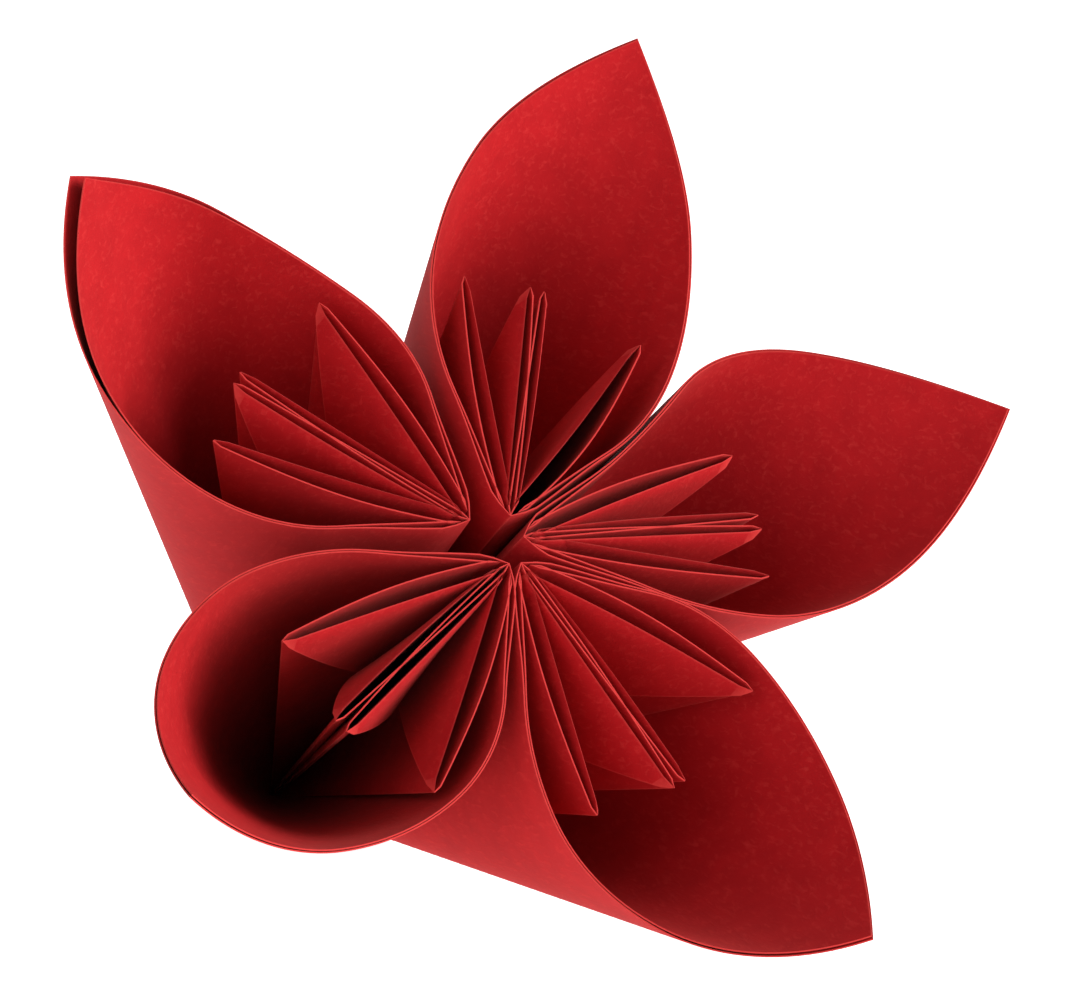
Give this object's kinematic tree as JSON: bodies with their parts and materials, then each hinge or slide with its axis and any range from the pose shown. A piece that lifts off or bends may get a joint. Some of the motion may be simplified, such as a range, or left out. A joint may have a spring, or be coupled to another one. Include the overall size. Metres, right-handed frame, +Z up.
{
  "type": "folded paper flower",
  "caption": "Ornamental flower folded from square sheets of red paper: cupped petals with fanned pleats inside, glued side by side round a common point, lying on its side",
  "frame": {"origin": "centre of the bounding box's underside, where the flower rests on the table", "axes": "+X to the viewer's right, across the flower; +Y away from the viewer; +Z up. The flower lies on its point and its two lowest petals and opens towards -Y and upwards"},
  "size_m": [0.0734, 0.0582, 0.0601],
  "materials": {
    "red_paper": "matte uncoated coloured paper, with soft fibre mottling and slightly paler cut and folded edges",
    "dried_glue": "dried white craft glue in a thin film between two layers of paper"
  },
  "bodies": {
    "root": {"petal_left": "red_paper", "petal_top": "red_paper", "petal_right": "red_paper", "petal_low_right": "red_paper", "petal_low_left": "red_paper", "closing_glue_left": "dried_glue", "closing_glue_top": "dried_glue", "closing_glue_right": "dried_glue", "closing_glue_low_right": "dried_glue", "closing_glue_low_left": "dried_glue", "joining_glue_left_top": "dried_glue", "joining_glue_top_right": "dried_glue", "joining_glue_right_low_right": "dried_glue", "joining_glue_low_right_low_left": "dried_glue", "joining_glue_low_left_left": "dried_glue"}
  },
  "joints": []
}
